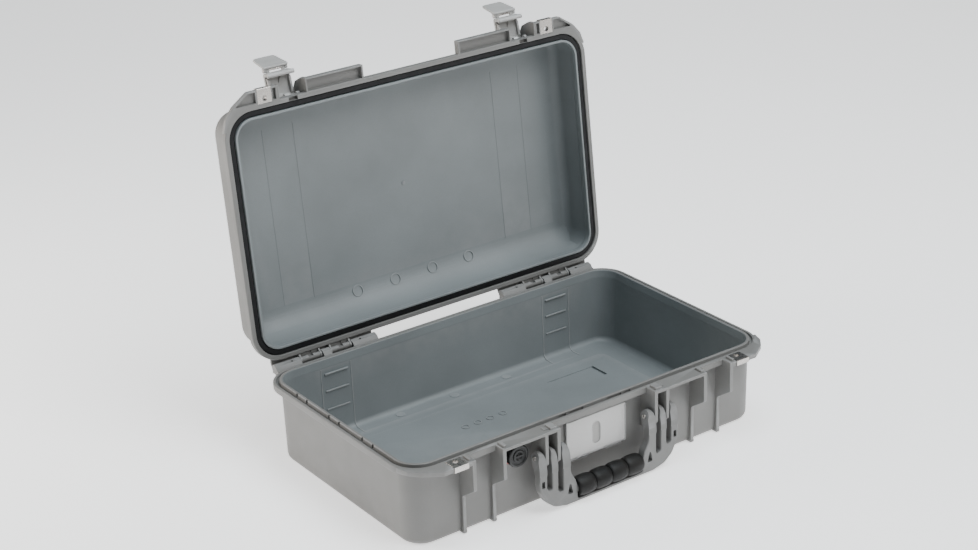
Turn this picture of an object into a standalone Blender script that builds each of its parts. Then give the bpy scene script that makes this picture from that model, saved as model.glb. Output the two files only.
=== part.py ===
"""Protective equipment case: hinged lid, seal, two lever latches, carry handle and vent.

Sizes in this script are millimetres; every mesh is scaled to metres when it is made.
X runs along the case, -Y is the front with the latches and the handle, +Z is up.
The origin is the centre of the flat underside.
The lid and latches are modelled shut, then swung open on empties at their pins.
"""
import math

import bmesh
import bpy
from mathutils import Matrix, Vector

MM = 0.001
GAP = 0.3                    # clearance between touching pieces
PIN_GAP = 0.1                # radial clearance of a pin in its bore

# --- rim: one rounded rectangle drives both shells and the seal ----------------------
RIDGE_HALF_X = 268.25        # centre line of the sealing ridge
RIDGE_HALF_Y = 155.0
RIDGE_RADIUS = 30.0
CORNER_STEPS = 6

# --- base heights --------------------------------------------------------------------
FLOOR_TOP = 4.0
FLANGE_TOP = 108.5
RIDGE_TOP = 110.5
SHELF_BOTTOM = 104.5
HASP_BOTTOM = 102.5
WALL_CORE_Y = -152.3         # a plane inside the front wall, where features root

# --- lid heights, as modelled shut ---------------------------------------------------
RIM_BOTTOM = 109.0
CHANNEL_TOP = 116.5
LID_TOP = 166.0
LID_INNER_TOP = 162.0

# --- front furniture -----------------------------------------------------------------
FRONT_Y = -183.0
RIB_THICK = 4.8
RIB_A_X = 198.8              # outer guard rib of each latch bay
RIB_B_X = 155.2              # inner guard rib of each latch bay
RIB_C_X = 93.6               # outer handle rib
RIB_D_X = 75.5               # inner handle rib
BAY_CENTRE_X = 177.0
HASP_HOLE = (217.0, -171.0)
HASP_HOLE_RADIUS = 4.0
PLATE_HALF = 10.0            # half width of a padlock plate
PLATE_THICK = 0.8

# --- hinge ---------------------------------------------------------------------------
HINGE_YZ = (173.7, 108.9)
HINGE_PIN_RADIUS = 1.6
HINGE_BLOCKS = ((102.0, 139.7), (172.3, 184.7), (217.3, 255.0))
LID_KNUCKLES = ((140.2, 171.8), (185.2, 216.8))
LID_OPEN = 95.84             # degrees from shut to the stop

# --- latches, as modelled latched ----------------------------------------------------
ARM_PIVOT = (-162.0, 126.2)
HOOK_CENTRE = (-165.5, 97.1)
LEVER_PIVOT = (-178.0, 90.4)
ARM_HALF_WIDTH = 17.6
HOOK_HALF_WIDTH = 19.0
LEVER_HALF_WIDTH = 17.6
LATCH_PIN_RADIUS = 1.5
ARM_OPEN = 99.6
LEVER_OPEN = 111.3           # the other way from the arm: its free end swings out and down

# --- handle --------------------------------------------------------------------------
HANDLE_PIVOT = (-176.0, 76.0)
HANDLE_PIN_RADIUS = 2.5
GRIP_CENTRE = (-180.0, 19.2)
GRIP_RADIUS = 12.4
GRIP_CORE_RADIUS = 6.0
GRIP_HALF = 50.0
PRONGS = ((61.0, 72.6), (80.2, 89.0), (96.6, 107.6))

# --- vent and label ------------------------------------------------------------------
VENT_X, VENT_Z = -125.0, 82.5
LABEL_HALF_X = 46.3
LABEL_Z = (42.5, 94.5)


# =====================================================================================
# helpers
# =====================================================================================
def clear_scene():
    for old in list(bpy.data.objects):
        bpy.data.objects.remove(old, do_unlink=True)


def material(name, colour, roughness, metallic=0.0, transmission=0.0):
    mat = bpy.data.materials.new(name)
    mat.use_nodes = True
    shader = mat.node_tree.nodes["Principled BSDF"]
    shader.inputs["Base Color"].default_value = (*colour, 1.0)
    shader.inputs["Roughness"].default_value = roughness
    shader.inputs["Metallic"].default_value = metallic
    shader.inputs["Transmission Weight"].default_value = transmission
    mat.diffuse_color = (*colour, 1.0)
    return mat


def finish_mesh(name, bm):
    """Make an object in metres from a bmesh in millimetres."""
    bmesh.ops.scale(bm, vec=Vector((MM, MM, MM)), verts=bm.verts)
    bmesh.ops.recalc_face_normals(bm, faces=bm.faces)
    mesh = bpy.data.meshes.new(name)
    bm.to_mesh(mesh)
    bm.free()
    obj = bpy.data.objects.new(name, mesh)
    bpy.context.scene.collection.objects.link(obj)
    return obj


def rim_ring(offset, z):
    """Points of the ridge's rounded rectangle, moved outward by offset, at height z."""
    points = []
    radius = RIDGE_RADIUS + offset
    for side_x, side_y, start in ((1, -1, -90), (1, 1, 0), (-1, 1, 90), (-1, -1, 180)):
        centre_x = side_x * (RIDGE_HALF_X - RIDGE_RADIUS)
        centre_y = side_y * (RIDGE_HALF_Y - RIDGE_RADIUS)
        for step in range(CORNER_STEPS + 1):
            angle = math.radians(start + 90 * step / CORNER_STEPS)
            points.append((centre_x + radius * math.cos(angle),
                           centre_y + radius * math.sin(angle), z))
    return points


def arc(centre, radius, start, end, steps):
    """Points along an arc in a plane, angles in degrees."""
    points = []
    for step in range(steps + 1):
        angle = math.radians(start + (end - start) * step / steps)
        points.append((centre[0] + radius * math.cos(angle),
                       centre[1] + radius * math.sin(angle)))
    return points


def loft(name, rings, closed=False):
    """Skin a stack of rings; capped at both ends unless the stack closes on itself."""
    bm = bmesh.new()
    rows = [[bm.verts.new(point) for point in ring] for ring in rings]
    pairs = list(zip(rows, rows[1:]))
    if closed:
        pairs.append((rows[-1], rows[0]))
    for lower, upper in pairs:
        count = len(lower)
        for i in range(count):
            j = (i + 1) % count
            bm.faces.new((lower[i], lower[j], upper[j], upper[i]))
    if not closed:
        bm.faces.new(rows[0])
        bm.faces.new(rows[-1])
    return finish_mesh(name, bm)


def rim_loft(name, profile, closed=False):
    """A shell or ring whose (offset, z) profile follows the rim."""
    return loft(name, [rim_ring(offset, z) for offset, z in profile], closed)


def place(axis, along, first, second):
    """A 3-D point from a profile point; the profile is YZ, XZ or XY for axis X, Y or Z."""
    if axis == "X":
        return (along, first, second)
    if axis == "Y":
        return (first, along, second)
    return (first, second, along)


def prism(name, axis, outline, start, end):
    """Extrude an outline along an axis."""
    bm = bmesh.new()
    low = [bm.verts.new(place(axis, start, *point)) for point in outline]
    high = [bm.verts.new(place(axis, end, *point)) for point in outline]
    count = len(outline)
    for i in range(count):
        j = (i + 1) % count
        bm.faces.new((low[i], low[j], high[j], high[i]))
    bm.faces.new(low)
    bm.faces.new(high)
    return finish_mesh(name, bm)


def box(name, x, y, z):
    return prism(name, "X", [(y[0], z[0]), (y[1], z[0]), (y[1], z[1]), (y[0], z[1])], *x)


def circle(centre, radius, segments):
    return arc(centre, radius, 0, 360 - 360 / segments, segments - 1)


def cylinder(name, axis, centre, radius, start, end, segments=16):
    return prism(name, axis, circle(centre, radius, segments), start, end)


def turned(name, axis, centre, profile, segments=24):
    """A lathe-turned solid: profile lists (along, radius) from one end to the other."""
    rings = []
    for along, radius in profile:
        rings.append([place(axis, along, *point) for point in circle(centre, radius, segments)])
    return loft(name, rings)


def turned_ring(name, axis, centre, profile, segments=24):
    """A turned solid with a bore: the (along, radius) profile closes on itself."""
    rings = []
    for along, radius in profile:
        rings.append([place(axis, along, *point) for point in circle(centre, radius, segments)])
    return loft(name, rings, closed=True)


def combine(target, tools, operation):
    """Union or cut a list of tool solids with the target, then discard the tools."""
    group = bpy.data.collections.new("tools")
    bpy.context.scene.collection.children.link(group)
    for tool in tools:
        group.objects.link(tool)
    modifier = target.modifiers.new(operation, "BOOLEAN")
    modifier.operation = operation
    modifier.operand_type = "COLLECTION"
    modifier.collection = group
    modifier.solver = "EXACT"
    bpy.context.view_layer.update()
    graph = bpy.context.evaluated_depsgraph_get()
    mesh = bpy.data.meshes.new_from_object(target.evaluated_get(graph))
    target.modifiers.clear()
    target.data = mesh
    for tool in tools:
        bpy.data.objects.remove(tool, do_unlink=True)
    bpy.data.collections.remove(group)
    return target


def dress(obj, mat, smooth_angle=None):
    """Give a finished object its one material, and smooth shading where it is round."""
    obj.data.materials.clear()
    obj.data.materials.append(mat)
    for polygon in obj.data.polygons:
        polygon.material_index = 0
    if smooth_angle is not None:
        obj.data.shade_smooth()
        obj.data.set_sharp_from_angle(angle=math.radians(smooth_angle))
    return obj


def mirrored(outline, side):
    """An XY or XZ outline on the right (+1) or left (-1) half of the case."""
    return [(side * x, other) for x, other in outline]


def span(side, low, high):
    """An X range on the right (+1) or left (-1) half of the case."""
    return (side * low, side * high) if side > 0 else (side * high, side * low)


def side_name(side):
    return "right" if side > 0 else "left"


# =====================================================================================
# base
# =====================================================================================
def hasp_outline():
    """Plan of a padlock boss with its cut-off corner, on the right half."""
    return [(196.4, -163.0), (196.4, FRONT_Y), (240.0, FRONT_Y), (262.0, -168.5),
            (273.5, -155.0), (278.6, -139.5), (273.4, -139.5), (265.1, -151.9),
            (252.8, -160.1), (238.2, -163.0)]


def base_skin():
    """The tub: underside, outer wall, flange, groove, sealing ridge, inner wall, floor."""
    edge_radius = 10.0
    inner_radius = 8.0
    profile = arc((-11.0, edge_radius), edge_radius, -90, 0, 3)
    profile += [(0.5, 98.0), (2.0, 99.8), (9.3, 100.2), (10.5, 101.4), (10.5, 107.4),
                (9.5, FLANGE_TOP), (6.4, FLANGE_TOP), (5.6, 105.0), (2.6, 105.0),
                (2.0, 109.9), (1.3, RIDGE_TOP), (-1.5, RIDGE_TOP), (-2.2, 109.8),
                (-3.2, 100.0)]
    profile += arc((-13.0, FLOOR_TOP + inner_radius), inner_radius, 0, -90, 3)
    return rim_loft("base_shell", profile)


def base_latch_rib(x):
    """Deep guard rib that tapers into a shallow rib down to the foot."""
    outline = [(-163.0, FLANGE_TOP), (FRONT_Y, FLANGE_TOP), (FRONT_Y, 68.0),
               (-158.6, 52.0), (-158.6, 3.4), (-156.6, 1.2), (-147.0, 1.2),
               (WALL_CORE_Y, 12.0), (WALL_CORE_Y, 97.0), (-163.0, 103.0)]
    return prism("rib", "X", outline, x - RIB_THICK / 2, x + RIB_THICK / 2)


def base_handle_rib(x):
    """Handle rib: deep at the top, rounded off under the handle pin."""
    outline = [(-163.0, FLANGE_TOP), (FRONT_Y, FLANGE_TOP), (FRONT_Y, 66.0),
               (-178.0, 61.0), (-168.0, 54.0), (WALL_CORE_Y, 50.0),
               (WALL_CORE_Y, 97.0), (-163.0, 103.0)]
    return prism("rib", "X", outline, x - RIB_THICK / 2, x + RIB_THICK / 2)


def hinge_block(x_range):
    """Base hinge knuckle with its root in the back of the flange."""
    y, z = HINGE_YZ
    outline = [(163.0, 100.6), (168.0, 98.6)]
    outline += arc((y, z), 5.2, -100, 90, 6)
    outline += [(168.5, 112.6), (165.2, FLANGE_TOP), (163.0, FLANGE_TOP)]
    return prism("knuckle", "X", outline, *x_range)


def hinge_buttress(x):
    """Back rib that carries a hinge block down to the wall."""
    outline = [(152.3, 62.0), (155.0, 60.0), (165.0, 99.2), (170.0, 99.2), (170.0, 101.0),
               (163.0, 102.0), (152.3, 97.0)]
    return prism("buttress", "X", outline, x - 1.5, x + 1.5)


def build_base(mat):
    shell = base_skin()
    solids = []
    tabs = ((199.3, 204.3), (151.6, 156.6), (76.4, 86.0))
    for side in (1, -1):
        for x in (RIB_A_X, RIB_B_X):
            solids.append(base_latch_rib(side * x))
        for x in (RIB_C_X, RIB_D_X):
            solids.append(base_handle_rib(side * x))
        solids.append(prism("hasp", "Z", mirrored(hasp_outline(), side),
                            HASP_BOTTOM, FLANGE_TOP))
        shelf_inner = RIB_D_X - RIB_THICK / 2
        shelf_outer = RIB_B_X + RIB_THICK / 2
        solids.append(box("shelf", span(side, shelf_inner, shelf_outer),
                          (FRONT_Y, -163.0), (SHELF_BOTTOM, FLANGE_TOP)))
        solids.append(box("catch", span(side, shelf_outer - 1, RIB_A_X), (-167.5, -162.0),
                          (100.3, FLANGE_TOP)))
        for low, high in tabs:
            solids.append(box("tab", span(side, low, high), (-180.0, -168.0),
                              (FLANGE_TOP - 1, FLANGE_TOP + 1.8)))
        for low, high in HINGE_BLOCKS:
            solids.append(hinge_block(span(side, low, high)))
            solids.append(hinge_buttress(side * (low + 3.0)))
            solids.append(hinge_buttress(side * (high - 3.0)))
    solids.append(box("label_ledge", (-44.0, 44.0), (-158.6, WALL_CORE_Y),
                      (LABEL_Z[0] - 2.6, LABEL_Z[0] - GAP)))
    combine(shell, solids, "UNION")

    cuts = []
    for side in (1, -1):
        hole_x = side * HASP_HOLE[0]
        cuts.append(cylinder("hole", "Z", (hole_x, HASP_HOLE[1]),
                             HASP_HOLE_RADIUS, 95.0, 112.0))
        cuts.append(box("plate_seat", (hole_x - PLATE_HALF - GAP, hole_x + PLATE_HALF + GAP),
                        (-190.0, -164.5), (FLANGE_TOP - PLATE_THICK - 0.1, 115.0)))
        cuts.append(cylinder("pin_hole", "X", HINGE_YZ, HINGE_PIN_RADIUS + PIN_GAP,
                             *span(side, 103.5, 253.5), segments=16))
        cuts.append(cylinder("pin_hole", "X", HANDLE_PIVOT, HANDLE_PIN_RADIUS + PIN_GAP,
                             *span(side, 70.0, 99.0), segments=16))
    cuts.append(cylinder("vent_hole", "Y", (VENT_X, VENT_Z), 11.3, -165.0, -140.0, 24))
    combine(shell, cuts, "DIFFERENCE")
    return dress(shell, mat, 35)


# =====================================================================================
# lid
# =====================================================================================
def lid_skin():
    """The lid tray, from its outer top round the rim and seal channel to its inside."""
    outer_radius = 25.0
    inner_radius = 21.0
    centre = (-26.0, LID_TOP - outer_radius)
    profile = arc(centre, outer_radius, 90, 0, 4)
    profile += [(0.5, 120.5), (2.0, 118.9), (9.3, 118.3), (10.5, 117.1),
                (10.5, RIM_BOTTOM + 1.0), (9.6, RIM_BOTTOM), (4.2, RIM_BOTTOM),
                (4.2, CHANNEL_TOP), (-4.2, CHANNEL_TOP), (-4.2, RIM_BOTTOM),
                (-4.6, RIM_BOTTOM - 0.5), (-6.8, RIM_BOTTOM - 0.5), (-7.3, RIM_BOTTOM),
                (-7.3, 114.5), (-5.4, 118.5)]
    profile += arc(centre, inner_radius, 0, 90, 4)
    return rim_loft("lid_shell", profile)


def lid_latch_rib(x):
    """Guard rib beside a latch, which also carries the latch's pin."""
    outline = [(-163.0, RIM_BOTTOM), (-163.0, 119.0), (-153.0, 121.0), (-151.5, 147.0),
               (-156.0, 149.5), (-176.0, 137.0), (FRONT_Y, 121.0), (FRONT_Y, RIM_BOTTOM)]
    return prism("rib", "X", outline, x - RIB_THICK / 2, x + RIB_THICK / 2)


def lid_cheek(x_range):
    """Thin side plate of a lid knuckle, from the rim down round the hinge pin."""
    outline = [(163.0, RIM_BOTTOM + 1.2), (166.0, RIM_BOTTOM + 1.2)]
    outline += arc(HINGE_YZ, 4.6, 200, 405, 7)
    outline += [(168.0, 119.5), (163.0, 118.2)]
    return prism("cheek", "X", outline, *x_range)


def build_lid(mat):
    shell = lid_skin()
    solids = []
    for side in (1, -1):
        for x in (RIB_A_X, RIB_B_X):
            solids.append(lid_latch_rib(side * x))
        solids.append(prism("hasp", "Z", mirrored(hasp_outline(), side),
                            RIM_BOTTOM, RIM_BOTTOM + 6.0))
        solids.append(box("tray", span(side, RIB_D_X - 2.4, RIB_B_X + 2.4),
                          (FRONT_Y, -163.0), (RIM_BOTTOM, RIM_BOTTOM + 9.0)))
        solids.append(box("band", span(side, 155.0, 200.0), (-122.0, 122.0),
                          (LID_TOP - 1.5, LID_TOP + 2.0)))
        for low, high in LID_KNUCKLES:
            solids.append(lid_cheek(span(side, low, low + 2.6)))
            solids.append(lid_cheek(span(side, high - 2.6, high)))
            solids.append(cylinder("barrel", "X", HINGE_YZ, 4.0, *span(side, low + 1, high - 1)))
    combine(shell, solids, "UNION")

    cuts = []
    for side in (1, -1):
        hole_x = side * HASP_HOLE[0]
        cuts.append(cylinder("hole", "Z", (hole_x, HASP_HOLE[1]),
                             HASP_HOLE_RADIUS, 100.0, 125.0))
        cuts.append(box("plate_seat", (hole_x - PLATE_HALF - GAP, hole_x + PLATE_HALF + GAP),
                        (-190.0, -164.5), (100.0, RIM_BOTTOM + PLATE_THICK + 0.4)))
        pocket = [(229.4, -167.6), (229.4, -180.0), (239.2, -180.0), (257.5, -167.6)]
        cuts.append(prism("pocket", "Z", mirrored(pocket, side), 100.0, RIM_BOTTOM + 4.5))
        cuts.append(box("tab_pocket", span(side, 198.2, 205.4), (-181.0, -166.8),
                        (100.0, RIM_BOTTOM + 3.6)))
        cuts.append(box("tray_hollow", span(side, RIB_D_X, RIB_B_X + 1.9), (-181.2, -166.2),
                        (100.0, RIM_BOTTOM + 6.6)))
        cuts.append(cylinder("pin_hole", "X", HINGE_YZ, HINGE_PIN_RADIUS + PIN_GAP,
                             *span(side, 130.0, 230.0), segments=16))
        cuts.append(cylinder("latch_hole", "X", ARM_PIVOT, LATCH_PIN_RADIUS + PIN_GAP,
                             *span(side, 154.0, 200.0), segments=16))
    combine(shell, cuts, "DIFFERENCE")
    return dress(shell, mat, 35)


def build_seal(mat):
    """Square-section rubber seal at the bottom of the lid's channel."""
    low, high, half = RIDGE_TOP + GAP, CHANNEL_TOP - GAP, 3.8
    profile = [(-half, low + 0.8), (-half + 0.8, low), (half - 0.8, low), (half, low + 0.8),
               (half, high), (-half, high)]
    return dress(rim_loft("lid_seal", profile, closed=True), mat)


# =====================================================================================
# padlock plates, pins, latches
# =====================================================================================
def padlock_plate(name, side, on_lid, mat):
    """Stainless clip folded over a boss's front edge, with the padlock hole through it."""
    hole_x = side * HASP_HOLE[0]
    face = RIM_BOTTOM + 0.1 if on_lid else FLANGE_TOP + 0.2
    inward = 1 if on_lid else -1
    back = RIM_BOTTOM + 6.0 + GAP if on_lid else HASP_BOTTOM - GAP
    nose = FRONT_Y - GAP
    thick = PLATE_THICK * inward
    outline = [(-164.8, face), (nose - PLATE_THICK, face), (nose - PLATE_THICK, back + thick),
               (-176.0, back + thick), (-176.0, back), (nose, back), (nose, face + thick),
               (-164.8, face + thick)]
    plate = prism(name, "X", outline, hole_x - PLATE_HALF, hole_x + PLATE_HALF)
    combine(plate, [cylinder("hole", "Z", (hole_x, HASP_HOLE[1]), HASP_HOLE_RADIUS - 0.4,
                             90.0, 130.0)], "DIFFERENCE")
    return dress(plate, mat, 35)


def pin(name, centre, radius, x_range, mat):
    return dress(cylinder(name, "X", centre, radius, *x_range, segments=16), mat, 35)


def build_latch_arm(side, mat):
    """Latch arm as latched: eyes on the lid pin, a front plate, and the hook bar inside."""
    centre = side * BAY_CENTRE_X
    low, high = centre - ARM_HALF_WIDTH, centre + ARM_HALF_WIDTH
    front = -179.5
    plate = [(-162.0, 129.8), (-175.5, 129.8), (front, 126.0), (front, 95.4), (-176.5, 93.6),
             (-166.0, 94.6), (-166.0, 98.0), (-174.5, 98.0), (-175.5, 99.5), (-175.5, 122.5),
             (-172.5, 125.6), (-162.0, 125.6)]
    arm = prism(f"latch_arm_{side_name(side)}", "X", plate, low, high)
    stiffener = [(-176.0, 98.6), (-171.5, 102.5), (-171.5, 122.5), (-174.0, 126.0)]
    solids = [
        cylinder("eye", "X", ARM_PIVOT, 3.6, low, high, 12),
        cylinder("hook", "X", HOOK_CENTRE, 2.7, centre - HOOK_HALF_WIDTH,
                 centre + HOOK_HALF_WIDTH, 12),
        prism("pad", "X", stiffener, centre - 12.0, centre + 12.0),
    ]
    for inner, outer in ((9.0, 13.0), (-13.0, -9.0)):
        lug = [(-179.2, 97.0), (-179.2, 89.6), (-178.0, 87.9), (-175.9, 89.4), (-175.7, 97.0)]
        solids.append(prism("lug", "X", lug, centre + inner, centre + outer))
    combine(arm, solids, "UNION")
    notch = [(centre - 4.5, 97.5), (centre + 4.5, 97.5), (centre, 109.0)]
    cuts = [
        cylinder("bore", "X", ARM_PIVOT, LATCH_PIN_RADIUS + PIN_GAP, low - 5, high + 5, 16),
        cylinder("bore", "X", LEVER_PIVOT, LATCH_PIN_RADIUS + PIN_GAP, low - 5, high + 5, 16),
        prism("notch", "Y", notch, -174.4, -170.0),
        box("window", (centre - 8.0, centre + 8.0), (-170.0, -158.0), (120.0, 127.6)),
    ]
    combine(arm, cuts, "DIFFERENCE")
    return dress(arm, mat, 35)


def build_latch_lever(side, mat):
    """Pull lever, as pressed shut: a plate that stands in front of the arm on two eyes."""
    centre = side * BAY_CENTRE_X
    low, high = centre - LEVER_HALF_WIDTH, centre + LEVER_HALF_WIDTH
    plate = [(-181.2, 87.2), (-182.8, 88.2), (-183.6, 92.0), (-183.6, 112.0), (-182.6, 118.4),
             (-181.2, 119.4), (-180.2, 118.2), (-180.6, 92.0), (-180.9, 88.4)]
    lever = prism(f"latch_lever_{side_name(side)}", "X", plate, low, high)
    eye = arc(LEVER_PIVOT, 2.9, -120, 90, 7) + [(-180.9, 93.3), (-181.6, 91.0), (-181.2, 88.4)]
    eyes = []
    for inner, outer in ((13.5, 17.0), (-17.0, -13.5)):
        eyes.append(prism("eye", "X", eye, centre + inner, centre + outer))
    combine(lever, eyes, "UNION")
    cuts = [cylinder("bore", "X", LEVER_PIVOT, LATCH_PIN_RADIUS + PIN_GAP, low - 5, high + 5, 16)]
    combine(lever, cuts, "DIFFERENCE")
    return dress(lever, mat, 35)


# =====================================================================================
# handle
# =====================================================================================
def handle_body_outline():
    """Front view of the handle frame's lower body, on the right half."""
    inner, middle, outer = PRONGS
    return [(-1.0, 2.6), (70.0, 2.6), (86.0, 8.0), (98.5, 18.5), (106.0, 33.0),
            (outer[1] + 1.0, 45.0), (outer[1], 58.0), (outer[0], 58.0), (outer[0], 34.0),
            (middle[1], 30.0), (middle[1], 58.0), (middle[0], 58.0), (middle[0], 26.0),
            (inner[1], 22.0), (inner[1], 58.0), (inner[0], 58.0), (inner[0], 46.0),
            (56.0, 37.0), (51.5, 28.0), (GRIP_HALF + 0.6, 6.4), (-1.0, 6.4)]


def build_handle_frame(mat):
    y, z = HANDLE_PIVOT
    back_y, front_y = -174.5, -186.0
    frame = prism("handle_frame", "Y", handle_body_outline(), front_y, back_y)
    solids = [prism("left_body", "Y", mirrored(handle_body_outline(), -1), front_y, back_y)]
    shank = [(-169.6, 73.0), (back_y, 52.0), (front_y, 52.0), (-184.6, 62.0), (-182.9, 76.0)]
    shank += arc((y, z), 7.0, 170, -25, 6)
    for side in (1, -1):
        for low, high in PRONGS:
            solids.append(prism("prong", "X", shank, *span(side, low, high)))
    solids.append(cylinder("core", "X", GRIP_CENTRE, GRIP_CORE_RADIUS, -56.0, 56.0, 12))
    combine(frame, solids, "UNION")
    bores = []
    for side in (1, -1):
        bores.append(cylinder("bore", "X", HANDLE_PIVOT, HANDLE_PIN_RADIUS + PIN_GAP,
                              *span(side, 50.0, 120.0), segments=16))
        window = [(57.0, 17.0), (66.0, 17.0), (62.0, 33.0)]
        bores.append(prism("window", "Y", mirrored(window, side), -190.0, -170.0))
    combine(frame, bores, "DIFFERENCE")
    return dress(frame, mat, 35)


def build_grip(mat):
    """Rubber sleeve round the handle's bar, with finger grooves."""
    bore = GRIP_CORE_RADIUS + GAP
    outer = GRIP_RADIUS
    profile = [(-GRIP_HALF, bore), (-GRIP_HALF, outer - 0.8), (-GRIP_HALF + 0.8, outer)]
    for groove in (-25.0, 0.0, 25.0):
        profile += [(groove - 1.2, outer), (groove, outer - 1.0), (groove + 1.2, outer)]
    profile += [(GRIP_HALF - 0.8, outer), (GRIP_HALF, outer - 0.8), (GRIP_HALF, bore)]
    return dress(turned_ring("handle_grip", "X", GRIP_CENTRE, profile), mat, 35)


# =====================================================================================
# vent and label
# =====================================================================================
def build_vent(mats):
    centre = (VENT_X, VENT_Z)
    body = [(-145.4, 5.0), (-145.4, 10.9), (-157.9, 10.9), (-157.9, 14.2), (-161.0, 14.2),
            (-161.0, 5.0)]
    dress(turned_ring("vent_body", "Y", centre, body), mats["vent_black"], 35)
    cap = [(-161.3, 13.0), (-162.0, 14.6), (-168.6, 14.6), (-169.6, 13.4), (-169.6, 10.6),
           (-168.6, 10.2), (-168.6, 7.2), (-169.9, 6.6), (-169.9, 3.0)]
    dress(turned("vent_cap", "Y", centre, cap), mats["vent_black"], 35)
    ring = [(-155.7, 11.4), (-155.7, 14.6), (-156.2, 15.1), (-157.1, 15.1), (-157.6, 14.6),
            (-157.6, 11.4)]
    dress(turned_ring("vent_seal_ring", "Y", centre, ring), mats["vent_red"], 35)
    nut = [(-151.0, 11.3), (-151.0, 14.4), (-146.2, 14.4), (-146.2, 11.3)]
    dress(turned_ring("vent_nut", "Y", centre, nut), mats["vent_black"], 35)
    membrane = [(-150.6, 4.7), (-150.0, 4.7)]
    dress(turned("vent_membrane", "Y", centre, membrane), mats["membrane"], 35)


def build_label(mats):
    """Clear cover with side rims, and the card that lies behind it."""
    low, high = LABEL_Z
    cover = box("label_cover", (-LABEL_HALF_X, LABEL_HALF_X), (-159.2, -156.0), LABEL_Z)
    pocket = box("pocket", (-LABEL_HALF_X + 1.6, LABEL_HALF_X - 1.6), (-157.6, -150.0),
                 (low + 1.6, high + 5.0))
    combine(cover, [pocket], "DIFFERENCE")
    dress(cover, mats["clear_cover"], 35)
    card = box("label_card", (-44.4, 44.4), (-157.2, -156.7), (low + 2.0, high - 0.5))
    dress(card, mats["card"])


# =====================================================================================
# assembly
# =====================================================================================
def pivot(name, yz, opening, parent=None, parent_yz=None):
    """An empty on a pin's axis, turned open by an angle about X."""
    empty = bpy.data.objects.new(name, None)
    bpy.context.scene.collection.objects.link(empty)
    empty.location = (0.0, yz[0] * MM, yz[1] * MM)
    empty.rotation_euler = (math.radians(-opening), 0.0, 0.0)
    if parent is not None:
        hang(empty, parent, parent_yz)
    return empty


def hang(obj, parent, parent_yz):
    """Parent a piece that was modelled in place to the empty on its pin."""
    obj.parent = parent
    obj.matrix_parent_inverse = Matrix.Translation((0.0, -parent_yz[0] * MM,
                                                    -parent_yz[1] * MM))


def build_latch(side, lid_axis, mats):
    label = side_name(side)
    centre = side * BAY_CENTRE_X
    arm_axis = pivot(f"latch_arm_axis_{label}", ARM_PIVOT, ARM_OPEN, lid_axis, HINGE_YZ)
    lever_axis = pivot(f"latch_lever_axis_{label}", LEVER_PIVOT, -LEVER_OPEN, arm_axis, ARM_PIVOT)
    hang(build_latch_arm(side, mats["latch_grey"]), arm_axis, ARM_PIVOT)
    lever_pin = pin(f"latch_lever_pin_{label}", LEVER_PIVOT, LATCH_PIN_RADIUS,
                    (centre - 17.0, centre + 17.0), mats["steel"])
    hang(lever_pin, arm_axis, ARM_PIVOT)
    hang(build_latch_lever(side, mats["latch_grey"]), lever_axis, LEVER_PIVOT)
    lid_pin = pin(f"latch_pivot_pin_{label}", ARM_PIVOT, LATCH_PIN_RADIUS,
                  (centre - 22.5, centre + 22.5), mats["steel"])
    hang(lid_pin, lid_axis, HINGE_YZ)


def main():
    clear_scene()
    mats = {
        "case_grey": material("case_grey", (0.32, 0.32, 0.31), 0.55),
        "latch_grey": material("latch_grey", (0.31, 0.305, 0.295), 0.5),
        "seal_black": material("seal_black", (0.012, 0.012, 0.013), 0.6),
        "grip_rubber": material("grip_rubber", (0.02, 0.018, 0.016), 0.75),
        "steel": material("steel", (0.62, 0.6, 0.57), 0.28, metallic=1.0),
        "vent_black": material("vent_black", (0.015, 0.015, 0.015), 0.4),
        "vent_red": material("vent_red", (0.45, 0.02, 0.02), 0.5),
        "membrane": material("membrane", (0.8, 0.8, 0.8), 0.8),
        "clear_cover": material("clear_cover", (0.85, 0.87, 0.88), 0.12, transmission=0.9),
        "card": material("card", (0.72, 0.71, 0.72), 0.7),
    }
    lid_axis = pivot("lid_axis", HINGE_YZ, LID_OPEN)
    build_base(mats["case_grey"])
    hang(build_lid(mats["case_grey"]), lid_axis, HINGE_YZ)
    hang(build_seal(mats["seal_black"]), lid_axis, HINGE_YZ)
    for side in (1, -1):
        label = side_name(side)
        pin(f"hinge_pin_{label}", HINGE_YZ, HINGE_PIN_RADIUS, span(side, 104.0, 253.0),
            mats["steel"])
        pin(f"handle_pin_{label}", HANDLE_PIVOT, HANDLE_PIN_RADIUS, span(side, 60.0, 108.6),
            mats["steel"])
        padlock_plate(f"base_padlock_plate_{label}", side, False, mats["steel"])
        lid_plate = padlock_plate(f"lid_padlock_plate_{label}", side, True, mats["steel"])
        hang(lid_plate, lid_axis, HINGE_YZ)
        build_latch(side, lid_axis, mats)
    handle_axis = pivot("handle_axis", HANDLE_PIVOT, 0.0)
    hang(build_handle_frame(mats["case_grey"]), handle_axis, HANDLE_PIVOT)
    hang(build_grip(mats["grip_rubber"]), handle_axis, HANDLE_PIVOT)
    build_vent(mats)
    build_label(mats)
    bpy.context.view_layer.update()


main()
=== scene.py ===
"""Looks for the protective equipment case: detailed pieces, materials, light and camera."""
import math

import bmesh
import bpy
from mathutils import Matrix, Vector


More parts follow.
